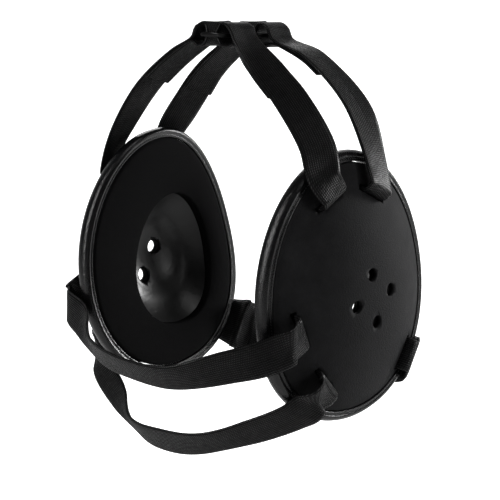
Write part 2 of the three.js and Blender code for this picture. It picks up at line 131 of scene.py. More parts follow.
# %% Cup surfaces
def egg_point(cup, egg, angle, inset=0.0, share=1.0):
    power = 2 / CUP_SQUARENESS
    across = np.sign(np.cos(angle)) * np.abs(np.cos(angle)) ** power
    along = np.sign(np.sin(angle)) * np.abs(np.sin(angle)) ** power
    up = (egg["height"] / 2 - inset) * along * share
    forward = (egg["width"] / 2 - inset) * across * (1 - egg["taper"] * along) * share
    lean = math.radians(cup["lean"]) if egg["leans"] else 0.0
    return (
        egg["forward"] + forward * math.cos(lean) - up * math.sin(lean),
        egg["up"] + forward * math.sin(lean) + up * math.cos(lean),
    )


def face_share(cup, forward, up):
    lean = math.radians(cup["lean"])
    along = (up * math.cos(lean) - forward * math.sin(lean)) / (CUP_HEIGHT / 2 - FACE_INSET)
    across = (forward * math.cos(lean) + up * math.sin(lean)) / (CUP_WIDTH / 2 - FACE_INSET)

    def length(a, b):
        return (np.abs(a) ** CUP_SQUARENESS + np.abs(b) ** CUP_SQUARENESS) ** (1 / CUP_SQUARENESS)

    round_share = length(along, across)
    return length(along, across / (1 - CUP_TAPER * along / np.maximum(round_share, 0.05)))


def dome_height(cup, forward, up):
    edge = RIM_THICKNESS / 2
    share = np.minimum(face_share(cup, forward, up), 1)
    return edge + (DOME_RISE - edge) * (1 - share ** DOME_FULLNESS)


def cup_matrix(cup):
    turn = math.radians(CUP_CAMBER) * cup["side"]
    toe = math.radians(CUP_TOE) * cup["side"]
    about_y = np.array([[math.cos(turn), 0, math.sin(turn)], [0, 1, 0], [-math.sin(turn), 0, math.cos(turn)]])
    about_z = np.array([[math.cos(toe), -math.sin(toe), 0], [math.sin(toe), math.cos(toe), 0], [0, 0, 1]])
    return about_y @ about_z


def cup_point(cup, forward, up, out):
    """Places on a cup, in the whole object's frame, in millimetres."""
    forward, up, out = np.broadcast_arrays(forward, up, out)
    wrap = RIM_WRAP * (forward / (CUP_WIDTH / 2)) ** 2
    curl = cup["curl"] * CUP_HEIGHT * (up / (CUP_HEIGHT / 2)) ** 2
    local = np.stack([cup["side"] * (out - wrap - curl), -forward, up], axis=-1)
    middle = np.array([cup["side"] * CUP_SPREAD / 2, -CUP_FORWARD, -CUP_DROP])
    return local @ cup_matrix(cup).T + middle


def ring(count):
    return np.linspace(0, 2 * math.pi, count, endpoint=False)


print("dome height at the middle", round(float(dome_height(CUPS[0], 0.0, 0.0)), 1), "mm")

# %% [markdown]
# Every soft or bent wall is a grid of points that closes on itself. It could be modelled from a primitive and
# subdivided, but a grid takes its points straight from the sizes. One function turns such a grid into a mesh
# with faces outward and smooth shading, and gives it a UV map of real lengths where a weave needs one.

# %% Grids to meshes
def grid_piece(name, grid, node, wrap_rows=True, wrap_columns=True, uv=None):
    grid = np.asarray(grid, dtype=float)
    rows, columns = grid.shape[:2]
    row_steps = rows if wrap_rows else rows - 1
    column_steps = columns if wrap_columns else columns - 1
    faces, corners = [], []
    for r in range(row_steps):
        for c in range(column_steps):
            square = [(r, c), (r, c + 1), (r + 1, c + 1), (r + 1, c)]
            faces.append([(i % rows) * columns + j % columns for i, j in square])
            corners.append(square)
    if not wrap_rows:
        faces.append(list(range(columns))[::-1])
        faces.append([(rows - 1) * columns + c for c in range(columns)])
        corners.extend([[(0, c) for c in range(columns)][::-1], [(rows - 1, c) for c in range(columns)]])
    mesh = bpy.data.meshes.new(name)
    mesh.from_pydata((grid.reshape(-1, 3) * MM).tolist(), [], faces)
    if uv is not None:
        layer = mesh.uv_layers.new(name="lengths")
        flat = [uv(i, j) for square in corners for i, j in square]
        layer.data.foreach_set("uv", np.asarray(flat, dtype=np.float32).ravel())
    piece = bpy.data.objects.new(name, mesh)
    bpy.context.collection.objects.link(piece)
    clean_up(piece)
    dress(piece, node)
    return piece


def clean_up(piece):
    """Merges doubled points, turns the faces outward and shades them smooth."""
    work = bmesh.new()
    work.from_mesh(piece.data)
    bmesh.ops.remove_doubles(work, verts=work.verts, dist=0.00001)
    bmesh.ops.recalc_face_normals(work, faces=work.faces)
    work.to_mesh(piece.data)
    work.free()
    piece.data.polygons.foreach_set("use_smooth", [True] * len(piece.data.polygons))


def dress(piece, node):
    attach(piece, "root")
    if node:
        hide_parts(node)


def apply_modifiers(piece):
    """Turns the piece with its modifiers into a plain mesh."""
    evaluated = piece.evaluated_get(bpy.context.evaluated_depsgraph_get())
    mesh = bpy.data.meshes.new_from_object(evaluated)
    piece.modifiers.clear()
    piece.data = mesh


print("grid helper ready")

# %% [markdown]
# Three effects serve the finishes, so each is a node group: the knitted face of cloth, the cells of vinyl or
# foam, and the twill of webbing. A group could hold a whole finish, but then every finish would need its own.
# These give only heights and tones, and each material sets its own colours and gloss from them.

# %% Node group helpers
def new_group(name, inputs, outputs):
    group = bpy.data.node_groups.new(name, "ShaderNodeTree")
    for label, value in inputs.items():
        socket = group.interface.new_socket(name=label, in_out="INPUT", socket_type="NodeSocketFloat")
        socket.default_value = value
    group.interface.new_socket(name="Vector", in_out="INPUT", socket_type="NodeSocketVector")
    for label in outputs:
        group.interface.new_socket(name=label, in_out="OUTPUT", socket_type="NodeSocketFloat")
    return group, group.nodes.new("NodeGroupInput"), group.nodes.new("NodeGroupOutput")


def math_node(tree, operation, first, second=None, third=None):
    node = tree.nodes.new("ShaderNodeMath")
    node.operation = operation
    for socket, value in zip(node.inputs, (first, second, third)):
        if value is None:
            continue
        if isinstance(value, (int, float)):
            socket.default_value = value
        else:
            tree.links.new(value, socket)
    return node.outputs[0]


def texture(tree, kind, vector, scale, **settings):
    node = tree.nodes.new(kind)
    tree.links.new(vector, node.inputs["Vector"])
    if isinstance(scale, (int, float)):
        node.inputs["Scale"].default_value = scale
    else:
        tree.links.new(scale, node.inputs["Scale"])
    for label, value in settings.items():
        node.inputs[label].default_value = value
    return node


def make_cloth_group():
    """Knitted face of neoprene: fine loops, with a slow unevenness in tone."""
    group, given, result = new_group("knitted_face", {"Fineness": 900, "Unevenness": 0.5}, ("Height", "Tone"))
    loops = texture(group, "ShaderNodeTexVoronoi", given.outputs["Vector"], given.outputs["Fineness"])
    soft = texture(group, "ShaderNodeTexNoise", given.outputs["Vector"], 70, Detail=8.0, Roughness=0.75)
    fuzz = texture(group, "ShaderNodeTexNoise", given.outputs["Vector"], 1500, Detail=2.0)
    height = math_node(group, "ADD", loops.outputs["Distance"], fuzz.outputs["Fac"])
    uneven = math_node(group, "SUBTRACT", soft.outputs["Fac"], 0.5)
    tone = math_node(group, "MULTIPLY_ADD", uneven, given.outputs["Unevenness"], 0.5)
    group.links.new(height, result.inputs["Height"])
    group.links.new(tone, result.inputs["Tone"])
    return group


def make_grain_group():
    """Embossed vinyl grain or the skin of foam, by the fineness of its cells."""
    group, given, result = new_group("cell_grain", {"Fineness": 700, "Unevenness": 0.4}, ("Height", "Tone"))
    cells = texture(group, "ShaderNodeTexVoronoi", given.outputs["Vector"], given.outputs["Fineness"])
    cells.feature = "DISTANCE_TO_EDGE"
    slow = texture(group, "ShaderNodeTexNoise", given.outputs["Vector"], 60, Detail=3.0)
    edges = math_node(group, "MINIMUM", cells.outputs["Distance"], 0.25)
    uneven = math_node(group, "SUBTRACT", slow.outputs["Fac"], 0.5)
    tone = math_node(group, "MULTIPLY_ADD", uneven, given.outputs["Unevenness"], 0.5)
    group.links.new(math_node(group, "MULTIPLY", edges, 4), result.inputs["Height"])
    group.links.new(tone, result.inputs["Tone"])
    return group


def make_twill_group():
    """Woven band: threads cross in slanting steps that turn back at the middle, with painted shade darkening
    the gaps between.
    """
    inputs = {"Threads": 20, "Slant": 1.0, "Wear": 0.4}
    group, given, result = new_group("twill_band", inputs, ("Height", "Tone"))
    apart = group.nodes.new("ShaderNodeSeparateXYZ")
    group.links.new(given.outputs["Vector"], apart.inputs[0])
    across, run = apart.outputs["X"], apart.outputs["Y"]
    from_middle = math_node(group, "ABSOLUTE", across)
    slanted = math_node(group, "MULTIPLY_ADD", from_middle, given.outputs["Slant"], run)
    ribs = math_node(group, "PINGPONG", math_node(group, "MULTIPLY", slanted, given.outputs["Threads"]), 0.5)
    warp = math_node(group, "PINGPONG", math_node(group, "MULTIPLY", across, given.outputs["Threads"]), 0.5)
    crowns = math_node(group, "MULTIPLY", math_node(group, "MULTIPLY", ribs, warp), 4)
    waves = texture(group, "ShaderNodeTexNoise", given.outputs["Vector"], 5, Detail=6.0, Roughness=0.7)
    uneven = math_node(group, "MULTIPLY", waves.outputs["Fac"], given.outputs["Wear"])
    group.links.new(crowns, result.inputs["Height"])
    # painted shade: the tone darkens the gaps between threads and lightens the crowns, with random wear added
    # on top
    gap_shade_and_wear = math_node(group, "MULTIPLY_ADD", crowns, 0.8, uneven)
    group.links.new(gap_shade_and_wear, result.inputs["Tone"])
    return group


GROUPS = {"cloth": make_cloth_group(), "grain": make_grain_group(), "twill": make_twill_group()}
print("groups", [group.name for group in GROUPS.values()])

# %% [markdown]
# Everything on the guard is black, so its finishes differ by gloss and by what the surface does to light:
# dull knitted cloth, satin vinyl, dull foam, a glossy moulded shell, woven webbing with a soft shine and
# black coated wire. Each gets its own shader and takes its relief from one of the groups. On webbing a thin
# coat lies on the threads' crowns alone, which gives the sparkle of worn nylon between matt gaps.

# %% Finishes
COAT_STARTS = 0.45


def finish(name, group, values, dark, light, rough, relief, uv=False, coat=0.0, **shine):
    """rough is the roughness where the tone is dark and light, relief the bump's strength and metres."""
    material = bpy.data.materials.new(name)
    material.use_nodes = True
    tree = material.node_tree
    shader = tree.nodes["Principled BSDF"]
    place = tree.nodes.new("ShaderNodeUVMap" if uv else "ShaderNodeTexCoord")
    if uv:
        place.uv_map = "lengths"
    vector = place.outputs["UV"] if uv else place.outputs["Object"]
    effect = tree.nodes.new("ShaderNodeGroup")
    effect.node_tree = GROUPS[group]
    tree.links.new(vector, effect.inputs["Vector"])
    for label, value in values.items():
        effect.inputs[label].default_value = value
    colour = tree.nodes.new("ShaderNodeMix")
    colour.data_type = "RGBA"
    colour.inputs["A"].default_value = (*dark, 1)
    colour.inputs["B"].default_value = (*light, 1)
    tree.links.new(effect.outputs["Tone"], colour.inputs["Factor"])
    tree.links.new(colour.outputs["Result"], shader.inputs["Base Color"])
    gloss = tree.nodes.new("ShaderNodeMapRange")
    gloss.inputs["To Min"].default_value = rough[0]
    gloss.inputs["To Max"].default_value = rough[1]
    tree.links.new(effect.outputs["Tone"], gloss.inputs["Value"])
    tree.links.new(gloss.outputs["Result"], shader.inputs["Roughness"])
    bump = tree.nodes.new("ShaderNodeBump")
    bump.inputs["Strength"].default_value = relief[0]
    bump.inputs["Distance"].default_value = relief[1]
    tree.links.new(effect.outputs["Height"], bump.inputs["Height"])
    tree.links.new(bump.outputs["Normal"], shader.inputs["Normal"])
    if coat:
        film = tree.nodes.new("ShaderNodeMapRange")
        film.inputs["From Min"].default_value = COAT_STARTS
        film.inputs["To Max"].default_value = coat
        tree.links.new(effect.outputs["Tone"], film.inputs["Value"])
        tree.links.new(film.outputs["Result"], shader.inputs["Coat Weight"])
    for label, value in shine.items():
        shader.inputs[label.replace("_", " ")].default_value = value
    return material


FINISHES = {
    "neoprene": finish(
        "matt_neoprene", "cloth", {"Fineness": 1100, "Unevenness": 2.0},
        (0.003, 0.003, 0.0034), (0.0135, 0.0135, 0.0142), (0.66, 0.86), (0.4, 0.0003),
        Specular_IOR_Level=0.1,
    ),
    "vinyl": finish(
        "satin_vinyl", "grain", {"Fineness": 1300, "Unevenness": 0.6},
        (0.002, 0.002, 0.0022), (0.005, 0.005, 0.0055), (0.15, 0.27), (0.22, 0.0002),
        Specular_IOR_Level=0.34,
    ),
    "foam": finish(
        "dull_foam", "grain", {"Fineness": 1500, "Unevenness": 0.5},
        (0.0015, 0.0015, 0.0017), (0.004, 0.004, 0.0043), (0.82, 0.98), (0.35, 0.0003),
        Specular_IOR_Level=0.06,
    ),
    "shell": finish(
        "glossy_shell", "grain", {"Fineness": 160, "Unevenness": 1.4},
        (0.0015, 0.0015, 0.0016), (0.003, 0.003, 0.0032), (0.26, 0.46), (0.05, 0.0006),
        Specular_IOR_Level=0.32,
    ),
    # the webbing's colour runs from painted shade in the weave's gaps (dark) to the threads' crowns (light),
    # with random wear
    "webbing": finish(
        "twill_webbing", "twill", {"Threads": 16, "Slant": 1.2, "Wear": 0.45},
        (0.0003, 0.0003, 0.0004), (0.006, 0.006, 0.0065), (0.8, 0.35), (1.0, 0.0011), uv=True, coat=1.0,
        Specular_IOR_Level=0.1, Coat_Roughness=0.3,
    ),
    "thread": finish(
        "black_thread", "cloth", {"Fineness": 2500, "Unevenness": 0.3},
        (0.003, 0.003, 0.0034), (0.01, 0.01, 0.011), (0.45, 0.6), (0.3, 0.0001),
        Specular_IOR_Level=0.25,
    ),
    "wire": finish(
        "coated_wire", "grain", {"Fineness": 900, "Unevenness": 0.5},
        (0.002, 0.002, 0.002), (0.005, 0.005, 0.005), (0.3, 0.5), (0.1, 0.0001), Specular_IOR_Level=0.15,
    ),
}
print("finishes", list(FINISHES))


def paint(piece, name):
    piece.data.materials.clear()
    piece.data.materials.append(FINISHES[name])

# %% [markdown]
# Four vents and five strap slots are punched through a cup. They could be left out of the grid of points, but
# a punch is simpler: each opening is a closed prism, and a Boolean takes the prisms out of the wall.

# %% Cutters for vents and slots
SLOTS = {
    "back_leg": (-0.4, 0.66, 33),
    "front_leg": (0.07, 0.68, -25),
    "upper_back": (-0.67, -0.25, -65),
    "lower_back": (-0.37, -0.65, -46),
    "chin": (0.69, -0.58, -116),
}


def slot_place(slot):
    forward, up, turn = SLOTS[slot]
    return forward * CUP_WIDTH / 2, up * CUP_HEIGHT / 2, math.radians(turn)


def vent_places(pitch=1.0):
    """The four vents. A pitch below 1 draws them towards the rear low one, which stays in line."""
    turn = math.radians(VENT_TURN)
    half = VENT_PITCH / 2
    for a, b in ((-1, 1), (-1, -1), (1, -1), (1, 1)):
        a, b = (a + 1) * pitch - 1, (b - 1) * pitch + 1
        yield (
            VENT_FORWARD + half * (a * math.cos(turn) - b * math.sin(turn)),
            -VENT_DOWN - half * (a * math.sin(turn) + b * math.cos(turn)),
        )


def prism(cup, outline):
    """A closed prism along the cup's outward axis, through outline, a list of (forward, up)."""
    matrix = cup_matrix(cup)
    middle = np.array([cup["side"] * CUP_SPREAD / 2, -CUP_FORWARD, -CUP_DROP])
    reach = 2 * DOME_RISE
    loops = [[(x, -forward, up) for forward, up in outline] for x in (-reach, reach)]
    return np.array(loops) @ matrix.T + middle


def cutter_object(cup, outlines):
    vertices, faces = [], []
    for outline in outlines:
        start, count = len(vertices), len(outline)
        vertices.extend((prism(cup, outline).reshape(-1, 3) * MM).tolist())
        faces.append([start + i for i in range(count)])
        faces.append([start + count + i for i in range(count)][::-1])
        for i in range(count):
            j = (i + 1) % count
            faces.append([start + j, start + i, start + count + i, start + count + j])
    mesh = bpy.data.meshes.new("cutters")
    mesh.from_pydata(vertices, [], faces)
    cutter = bpy.data.objects.new("cutters", mesh)
    bpy.context.collection.objects.link(cutter)
    clean_up(cutter)
    return cutter


def vent_outlines(bore, pitch=1.0, sides=32):
    for forward, up in vent_places(pitch):
        yield [(forward + bore / 2 * math.cos(t), up + bore / 2 * math.sin(t)) for t in ring(sides)]


def slot_outlines():
    long_half = (WEBBING_WIDTH + SLOT_CLEARANCE) / 2
    short_half = (WEBBING_THICKNESS + SLOT_CLEARANCE) / 2
    for name in SLOTS:
        forward, up, turn = slot_place(name)
        corners = ((-1, -1), (1, -1), (1, 1), (-1, 1))
        yield [
            (
                forward + a * long_half * math.cos(turn) - b * short_half * math.sin(turn),
                up + a * long_half * math.sin(turn) + b * short_half * math.cos(turn),
            )
            for a, b in corners
        ]


def cut(piece, cup, outlines):
    cutter = cutter_object(cup, list(outlines))
    modifier = piece.modifiers.new("punch", "BOOLEAN")
    modifier.object = cutter
    modifier.solver = "EXACT"
    modifier.operation = "DIFFERENCE"
    apply_modifiers(piece)
    mesh = cutter.data
    bpy.data.objects.remove(cutter)
    bpy.data.meshes.remove(mesh)


print("slots", list(SLOTS))

# %% [markdown]
# The outer cover is moulded cloth over foam: a low dome whose edge goes under the binding. It is built as
# rings from its middle over its edge to the middle of its inside, closer together near the edge, where the
# dome turns down.

# %% Outer covers
COVER_RINGS = 26
COVER_SIDES = 120


def disc_grid(cup, egg, inset, shares, height, wall, count):
    angle = ring(count)
    outside, inside = [], []
    for share in shares:
        forward, up = egg_point(cup, egg, angle, inset, share)
        top = height(forward, up, share)
        outside.append(cup_point(cup, forward, up, top))
        inside.append(cup_point(cup, forward, up, top - wall))
    return np.stack([*outside, *inside[::-1]], axis=1)


def smooth_shares(count):
    return np.sin(np.linspace(0, math.pi / 2, count))


for cup in CUPS:
    def cover_top(forward, up, share, cup=cup):
        return dome_height(cup, forward, up)

    grid = disc_grid(cup, RIM_EGG, FACE_INSET, smooth_shares(COVER_RINGS), cover_top, COVER_WALL, COVER_SIDES)
    name = cup["name"]
    cover = grid_piece(f"{name}_cover", grid, f"{name}_outer_cover", wrap_columns=False)
    cut(cover, cup, [*vent_outlines(COVER_VENT), *slot_outlines()])
    paint(cover, "neoprene")
    print(cover.name, len(cover.data.polygons), "faces")

# %% [markdown]
# The liner is a glossy moulded bowl behind the ear. Its back follows the cover, its edge rises toward the
# head, and a low ledge runs round its floor, which catches the light in the photograph.

# %% Ear liners
LINER_RINGS = 22
LINER_SIDES = 96
LEDGE_RISE = 0.5
LEDGE_PLACE = 0.62
LEDGE_SPREAD = 0.07
VENT_GROWTH = 0.4
for cup in CUPS:
    def liner_back(forward, up, share, cup=cup):
        ledge = LEDGE_RISE * np.exp(-((share - LEDGE_PLACE) / LEDGE_SPREAD) ** 2)
        return dome_height(cup, forward, up) - COVER_WALL - GAP - BOWL_RISE * share**3 - ledge

    grid = disc_grid(cup, EAR_EGG, GAP, smooth_shares(LINER_RINGS), liner_back, LINER_WALL, LINER_SIDES)
    liner = grid_piece(f"{cup['name']}_liner", grid, f"{cup['name']}_ear_liner", wrap_columns=False)
    cut(liner, cup, vent_outlines(LINER_VENT * cup["liner_pitch"] ** VENT_GROWTH, cup["liner_pitch"]))
    paint(liner, "shell")
    print(liner.name, len(liner.data.polygons), "faces")

# %% [markdown]
# A pad of soft foam in a cloth skin swells where nothing holds it. It could be drawn swollen, but a cloth
# simulation finds the shape by itself: the skin is blown up a little while its back and its sewn edge are
# held. The move of each point is then capped, so that the pad stays clear of its neighbours.

# %% Swelling by simulation
PAD_PRESSURE = 4.0
PAD_SWELL = 1.6 * MM
PAD_FRAMES = 20
SKIN_WEIGHT = 0.05
SKIN_STRETCH = 1.5
SKIN_BEND = 0.05
SKIN_QUALITY = 4


def swell(pad, held):
    """Blows the pad's free skin up and keeps the result as its mesh. held lists points that stay."""
    before = np.array([vertex.co for vertex in pad.data.vertices])
    group = pad.vertex_groups.new(name="held")
    group.add(held, 1.0, "REPLACE")
    cloth = pad.modifiers.new("skin", "CLOTH")
    settings = cloth.settings
    settings.quality = SKIN_QUALITY
    settings.mass = SKIN_WEIGHT
    settings.tension_stiffness = SKIN_STRETCH
    settings.compression_stiffness = SKIN_STRETCH
    settings.bending_stiffness = SKIN_BEND
    settings.vertex_group_mass = "held"
    settings.use_pressure = True
    settings.uniform_pressure_force = PAD_PRESSURE
    settings.effector_weights.gravity = 0
    cloth.point_cache.frame_start = 1
    cloth.point_cache.frame_end = PAD_FRAMES
    scene = bpy.context.scene
    for frame in range(1, PAD_FRAMES + 1):
        scene.frame_set(frame)
        bpy.context.view_layer.update()
    apply_modifiers(pad)
    scene.frame_set(1)
    after = np.array([vertex.co for vertex in pad.data.vertices])
    move = after - before
    length = np.linalg.norm(move, axis=1, keepdims=True)
    capped = before + move * PAD_SWELL / (PAD_SWELL + length)
    pad.data.vertices.foreach_set("co", capped.astype(np.float32).ravel())
    pad.data.update()
    pad.vertex_groups.clear()
    furthest = np.linalg.norm(capped - before, axis=1).max() / MM
    print(pad.name, "moved up to", round(float(furthest), 2), "mm")


print("pads will swell")

# %% [markdown]
# The foam pad fills the cup round the ear opening. Its face is crowned and rolls over at both edges, and it
# sinks a little in a slow, uneven way, as a pad does once it has been worn.

# %% Foam pads
PAD_BACK_STEPS = 14
PAD_FACE_STEPS = 26
PAD_SIDES = 160
PAD_HELD_STEPS = PAD_BACK_STEPS + 3
CROWN_SHARE = 0.8
CROWN_START = 0.1
CROWN_FULLNESS = 0.6
PAD_SINK = 0.22
for cup in CUPS:
    angle = ring(PAD_SIDES)
    ear = np.array(egg_point(cup, EAR_EGG, angle))
    rim = np.array(egg_point(cup, RIM_EGG, angle, FACE_INSET))
    columns = []
    for share in np.linspace(0, 1, PAD_BACK_STEPS):
        forward, up = ear + (rim - ear) * share
        back = dome_height(cup, forward, up) - COVER_WALL - FOAM_GAP
        columns.append(cup_point(cup, forward, up, back))
    for share in 1 - smooth_shares(PAD_FACE_STEPS):
        forward, up = ear + (rim - ear) * share
        place = CROWN_START + (1 - CROWN_START) * share
        crown = math.sin(math.pi * place) ** CROWN_FULLNESS if share < 1 else 0.0
        slow = PAD_SINK * np.sin(3 * angle + cup["side"]) * math.sin(math.pi * share)
        face = -RIM_THICKNESS / 2 - CROWN_SHARE * FOAM_PROUD * crown - slow
        columns.append(cup_point(cup, forward, up, face))
    grid = np.stack(columns, axis=1)
    pad = grid_piece(f"{cup['name']}_pad", grid, f"{cup['name']}_foam_pad")
    sides, steps = grid.shape[:2]
    swell(pad, [i for i in range(sides * steps) if i % steps < PAD_HELD_STEPS])
    paint(pad, "foam")
    print(pad.name, len(pad.data.polygons), "faces")

# %% [markdown]
# The edge binding is a strip of vinyl folded over the rim and sewn down. Its section is a rolled edge, a
# groove that the seam pulls in, and a flat hem. Bevelling the rim would give one round edge, so the section
# is given as points, in shares of the binding's depth and the rim's thickness. The hem puckers a little.

# %% Edge bindings
BINDING_OUTLINE = (
    (1.0, -0.46), (0.97, -0.52), (0.88, -0.54), (0.76, -0.51), (0.68, -0.47), (0.6, -0.5), (0.44, -0.51),
    (0.26, -0.44), (0.11, -0.32), (0.02, -0.16), (0.0, 0.0), (0.02, 0.18), (0.11, 0.36), (0.26, 0.49),
    (0.44, 0.55), (0.58, 0.52), (0.67, 0.46), (0.76, 0.52), (0.88, 0.565), (0.97, 0.54), (1.0, 0.49),
)
BINDING_SIDES = 220
PUCKER = 0.06
PUCKERS = 90
HEM = (0.6, 0.9)
for cup in CUPS:
    angle = ring(BINDING_SIDES)
    columns = []
    for depth, out in BINDING_OUTLINE:
        pucker = PUCKER * np.sin(PUCKERS * angle) * (HEM[0] < depth < HEM[1])
        forward, up = egg_point(cup, RIM_EGG, angle, depth * BINDING_DEPTH)
        columns.append(cup_point(cup, forward, up, out * RIM_THICKNESS + pucker))
    name = cup["name"]
    binding = grid_piece(f"{name}_binding", np.stack(columns, axis=1), f"{name}_edge_binding")
    paint(binding, "vinyl")
    print(binding.name, len(binding.data.polygons), "faces")

# %% [markdown]
# Every strap is one flat band that follows rows of a centre and a width direction. A curve object with a
# bevel could do it, but it gives no hold on the band's twist. The curve through the rows is a centripetal
# Catmull-Rom spline, which passes through every row and makes no loops between them.

# %% Curves through rows
STEPS_PER_ROW = 12
LEAST_STEP = 0.0001


def catmull(points, steps_per_row):
    points = np.asarray(points, dtype=float)
    count = (len(points) - 1) * steps_per_row
    result = []
    for i in range(count + 1):
        place = (len(points) - 1) * i / count
        start = min(int(place), len(points) - 2)
        t = place - start
        p1, p2 = points[start], points[start + 1]
        p0 = points[start - 1] if start > 0 else 2 * p1 - p2
        p3 = points[start + 2] if start + 2 < len(points) else 2 * p2 - p1
        d0, d1, d2 = (max(np.sum((b - a) ** 2), 0.0) ** 0.25 for a, b in ((p0, p1), (p1, p2), (p2, p3)))
        d1 = 1.0 if d1 < LEAST_STEP else d1
        d0 = d1 if d0 < LEAST_STEP else d0
        d2 = d1 if d2 < LEAST_STEP else d2
        t1 = ((p1 - p0) / d0 - (p2 - p0) / (d0 + d1) + (p2 - p1) / d1) * d1
        t2 = ((p2 - p1) / d1 - (p3 - p1) / (d1 + d2) + (p3 - p2) / d2) * d1
        cubic = -3 * p1 + 3 * p2 - 2 * t1 - t2, 2 * p1 - 2 * p2 + t1 + t2
        result.append(p1 + t1 * t + cubic[0] * t**2 + cubic[1] * t**3)
    return np.array(result)


def unit(vector):
    return vector / np.linalg.norm(vector)


def sections(rows, steps_per_row):
    """Centre, width direction and normal along a band, and the length run so far."""
    centres = catmull([row[0] for row in rows], steps_per_row)
    leans = catmull([row[1] for row in rows], steps_per_row)
    last = len(centres) - 1
    result, run = [], 0.0
    for i, centre in enumerate(centres):
        ahead = unit(centres[min(i + 1, last)] - centres[max(i - 1, 0)])
        along = unit(leans[i] - ahead * np.dot(leans[i], ahead))
        run += np.linalg.norm(centre - centres[i - 1]) if i else 0.0
        result.append((centre, along, np.cross(ahead, along), run))
    return result


print("straps follow centripetal curves")

# %% [markdown]
# Webbing is woven flat with a rounded, slightly thicker edge. Its section is a rounded flat outline, finely
# divided across, and its UV map counts widths, so that the weave keeps its size on every strap.

# %% Bands of webbing
BAND_POINTS = 15
EDGE_SQUARENESS = 10
LIP_RISE = 0.1
LIP_PLACE = 0.9
LIP_SPREAD = 0.06


def band_outline(half, thickness):
    """(across, out) round the section, thickest just inside both edges."""
    top = []
    for share in np.linspace(-1, 1, BAND_POINTS):
        edge = 1 - abs(share) ** EDGE_SQUARENESS
        lip = 1 + LIP_RISE * math.exp(-((abs(share) - LIP_PLACE) / LIP_SPREAD) ** 2)
        top.append((share * half, thickness / 2 * lip * max(edge, 0.0) ** 0.5))
    return top + [(a, -b) for a, b in top[-2:0:-1]]


def band(name, rows, node, steps_per_row=STEPS_PER_ROW, width=None):
    along_band = sections(rows, steps_per_row)
    total = along_band[-1][3]
    grid, runs, widths = [], [], []
    for i, (centre, along, normal, run) in enumerate(along_band):
        share = i / (len(along_band) - 1)
        half = (width(share) if width else WEBBING_WIDTH) / 2
        outline = band_outline(half, WEBBING_THICKNESS)
        grid.append([centre + along * a + normal * b for a, b in outline])
        runs.append(run / WEBBING_WIDTH)
        widths.append([a / WEBBING_WIDTH for a, b in outline])

    def uv(i, j):
        return widths[i % len(widths)][j % len(widths[0])], runs[i % len(runs)]

    piece = grid_piece(name, grid, node, wrap_rows=False, uv=uv)
    paint(piece, "webbing")
    print(name, round(total), "mm long,", len(piece.data.polygons), "faces")
    return along_band


def slot_rows(cup, name):
    """Two rows of a strap's way out of its slot: just inside it and just over it."""
    forward, up, turn = slot_place(name)
    mouth = cup_point(cup, forward, up, dome_height(cup, np.float64(forward), np.float64(up)))
    along = cup_matrix(cup) @ np.array([0, -math.cos(turn), math.sin(turn)])
    outward = cup_matrix(cup) @ np.array([cup["side"], 0, 0])
    return [(mouth + outward * lift, along) for lift in (-SLOT_DEPTH, STRAP_LIFT)]


def rounded_fold(rows, following):
    """The slot's rows with the upper one drawn out into a round fold towards the following row."""
    (inside, along), (top, _) = rows
    outward = unit(top - inside)
    toward = following - top
    toward = toward - outward * np.dot(toward, outward) - along * np.dot(toward, along)
    toward = unit(toward)
    start = top - outward * (FOLD_RADIUS - FOLD_RISE)
    fold = [(inside, along)]
    for turn in np.radians(np.linspace(0, FOLD_TURN, FOLD_ROWS)):
        bend = outward * FOLD_RADIUS * math.sin(turn) + toward * FOLD_RADIUS * (1 - math.cos(turn))
        fold.append((start + bend, along))
    return fold


print("section points", len(band_outline(WEBBING_WIDTH / 2, WEBBING_THICKNESS)))

# %% [markdown]
# Four legs climb from the cups to the crown. Each passes over the cup's edge, goes round its link as a
# standing loop and comes back under itself as a fastened tail. Rim rows are places on the cup: forward and up
# in shares of its half sizes, out in rim thicknesses. Free rows are out, back and rise in shares of half the
# spread, the cup's width and the reach from the crown to the cup. Both end in the strap's yaw and tip.

# %% Crown legs
LEGS = {
    "right_back_leg": {
        "slot": "back_leg",
        "rim": ((-0.51, 0.82, 1.28, 20, 24), (-0.457, 1.03, 0.12, 34, 22)),
        "rows": ((0.7, 0.165, -0.476, 32, 20), (0.42, 0.12, -0.18, 28, 14)),
        "loop": (0.06, 0.655, 8),
    },
    "right_front_leg": {
        "slot": "front_leg",
        "rim": ((0.121, 0.87, 1.15, -8, 8),),
        "rows": ((0.985, -0.066, -0.554, 6, 3), (0.585, -0.06, -0.013, -2, 4)),
        "loop": (0.11, -0.655, 0),
    },
    "left_back_leg": {
        "slot": "back_leg",
        "rim": ((-0.47, 0.962, 1.24, 0, 8),),
        "rows": ((0.755, 0.142, -0.476, -2, -9), (0.467, 0.1, -0.039, -6, -5)),
        "loop": (0.13, 0.655, -14),
    },
    "left_front_leg": {
        "slot": "front_leg",
        "rim": ((0.154, 0.801, 1.2, -4, -16), (0.21, 0.971, 1.05, -10, -18)),
        "rows": ((0.625, -0.05, -0.631, -24, -11), (0.4, -0.05, -0.206, -18, 0)),
        "loop": (0.07, -0.655, -10),
    },
}
LOOP_SECTION = ((0.66, -0.13), (0.36, 0.34), (-0.1, 0.5), (-0.32, 0.12), (-0.12, -0.36), (0.3, -0.46))
HALF_SPREAD = CUP_SPREAD / 2
REACH = CUP_DROP - CUP_HEIGHT / 2


def width_direction(side, yaw, tip):
    yaw, tip = math.radians(yaw), math.radians(tip)
    return np.array([side * math.sin(yaw) * math.cos(tip), -math.cos(yaw) * math.cos(tip), math.sin(tip)])


def on_cup(cup, forward, up, out):
    return cup_point(cup, forward * CUP_WIDTH / 2, up * CUP_HEIGHT / 2, out * RIM_THICKNESS)


